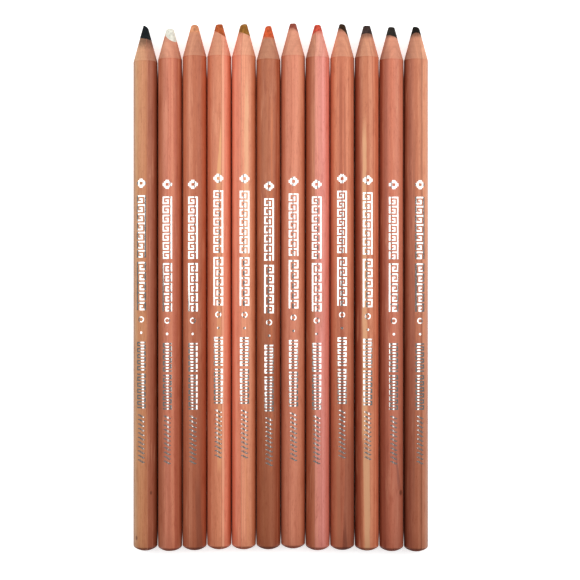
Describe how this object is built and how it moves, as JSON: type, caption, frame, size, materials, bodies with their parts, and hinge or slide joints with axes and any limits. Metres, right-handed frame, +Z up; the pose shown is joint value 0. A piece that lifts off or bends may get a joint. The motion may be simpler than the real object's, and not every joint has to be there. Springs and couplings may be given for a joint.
{
  "type": "pastel pencil set",
  "caption": "Row of loose round cedar pencils, clear lacquered, with thick pastel cores in skin tints sharpened to short cones, for drawing and blending portraits.",
  "frame": {"origin": "on the table, below the middle of the row's box", "axes": "+Y along the pencils towards the sharpened tips, +X along the row from the first pencil to the last, +Z up from the table"},
  "size_m": [0.0982, 0.176, 0.008],
  "materials": {
    "cedar_tan": "clear gloss lacquer on the barrel, raw on the cone",
    "cedar_pink": "clear gloss lacquer on the barrel, raw on the cone",
    "cedar_red": "clear gloss lacquer on the barrel, raw on the cone",
    "cedar_brown": "clear gloss lacquer on the barrel, raw on the cone",
    "wood_glue": "matte",
    "silver_foil": "hot-stamped foil, thin",
    "core_black": "dry chalky matte",
    "core_white": "dry chalky matte",
    "core_flesh": "dry chalky matte",
    "core_burnt_orange": "dry chalky matte",
    "core_ochre": "dry chalky matte",
    "core_vermilion": "dry chalky matte",
    "core_terracotta": "dry chalky matte",
    "core_red": "dry chalky matte",
    "core_umber": "dry chalky matte",
    "core_brown_black": "dry chalky matte",
    "core_charcoal": "dry chalky matte",
    "core_sepia": "dry chalky matte"
  },
  "bodies": {
    "pencil_01": {"left_slat_01": "cedar_tan", "right_slat_01": "cedar_brown", "core_01": "core_black", "glue_line_01": "wood_glue"},
    "pencil_02": {"left_slat_02": "cedar_pink", "right_slat_02": "cedar_pink", "core_02": "core_white", "glue_line_02": "wood_glue"},
    "pencil_03": {"left_slat_03": "cedar_pink", "right_slat_03": "cedar_red", "core_03": "core_flesh", "glue_line_03": "wood_glue"},
    "pencil_04": {"left_slat_04": "cedar_red", "right_slat_04": "cedar_pink", "core_04": "core_burnt_orange", "glue_line_04": "wood_glue"},
    "pencil_05": {"left_slat_05": "cedar_red", "right_slat_05": "cedar_pink", "core_05": "core_ochre", "glue_line_05": "wood_glue"},
    "pencil_06": {"left_slat_06": "cedar_brown", "right_slat_06": "cedar_brown", "core_06": "core_vermilion", "glue_line_06": "wood_glue"},
    "pencil_07": {"left_slat_07": "cedar_red", "right_slat_07": "cedar_pink", "core_07": "core_terracotta", "glue_line_07": "wood_glue"},
    "pencil_08": {"left_slat_08": "cedar_brown", "right_slat_08": "cedar_pink", "core_08": "core_red", "glue_line_08": "wood_glue"},
    "pencil_09": {"left_slat_09": "cedar_red", "right_slat_09": "cedar_red", "core_09": "core_umber", "glue_line_09": "wood_glue"},
    "pencil_10": {"left_slat_10": "cedar_red", "right_slat_10": "cedar_brown", "core_10": "core_brown_black", "glue_line_10": "wood_glue"},
    "pencil_11": {"left_slat_11": "cedar_brown", "right_slat_11": "cedar_red", "core_11": "core_charcoal", "glue_line_11": "wood_glue"},
    "pencil_12": {"left_slat_12": "cedar_red", "right_slat_12": "cedar_tan", "core_12": "core_sepia", "glue_line_12": "wood_glue"}
  },
  "joints": [
    {"name": "lift_01", "type": "slide", "parent": "pencil_06", "child": "pencil_01", "axis": [0, 0, 1], "range_m": [0, 0.03]},
    {"name": "lift_02", "type": "slide", "parent": "pencil_06", "child": "pencil_02", "axis": [0, 0, 1], "range_m": [0, 0.03]},
    {"name": "lift_03", "type": "slide", "parent": "pencil_06", "child": "pencil_03", "axis": [0, 0, 1], "range_m": [0, 0.03]},
    {"name": "lift_04", "type": "slide", "parent": "pencil_06", "child": "pencil_04", "axis": [0, 0, 1], "range_m": [0, 0.03]},
    {"name": "lift_05", "type": "slide", "parent": "pencil_06", "child": "pencil_05", "axis": [0, 0, 1], "range_m": [0, 0.03]},
    {"name": "lift_07", "type": "slide", "parent": "pencil_06", "child": "pencil_07", "axis": [0, 0, 1], "range_m": [0, 0.03]},
    {"name": "lift_08", "type": "slide", "parent": "pencil_06", "child": "pencil_08", "axis": [0, 0, 1], "range_m": [0, 0.03]},
    {"name": "lift_09", "type": "slide", "parent": "pencil_06", "child": "pencil_09", "axis": [0, 0, 1], "range_m": [0, 0.03]},
    {"name": "lift_10", "type": "slide", "parent": "pencil_06", "child": "pencil_10", "axis": [0, 0, 1], "range_m": [0, 0.03]},
    {"name": "lift_11", "type": "slide", "parent": "pencil_06", "child": "pencil_11", "axis": [0, 0, 1], "range_m": [0, 0.03]},
    {"name": "lift_12", "type": "slide", "parent": "pencil_06", "child": "pencil_12", "axis": [0, 0, 1], "range_m": [0, 0.03]}
  ]
}
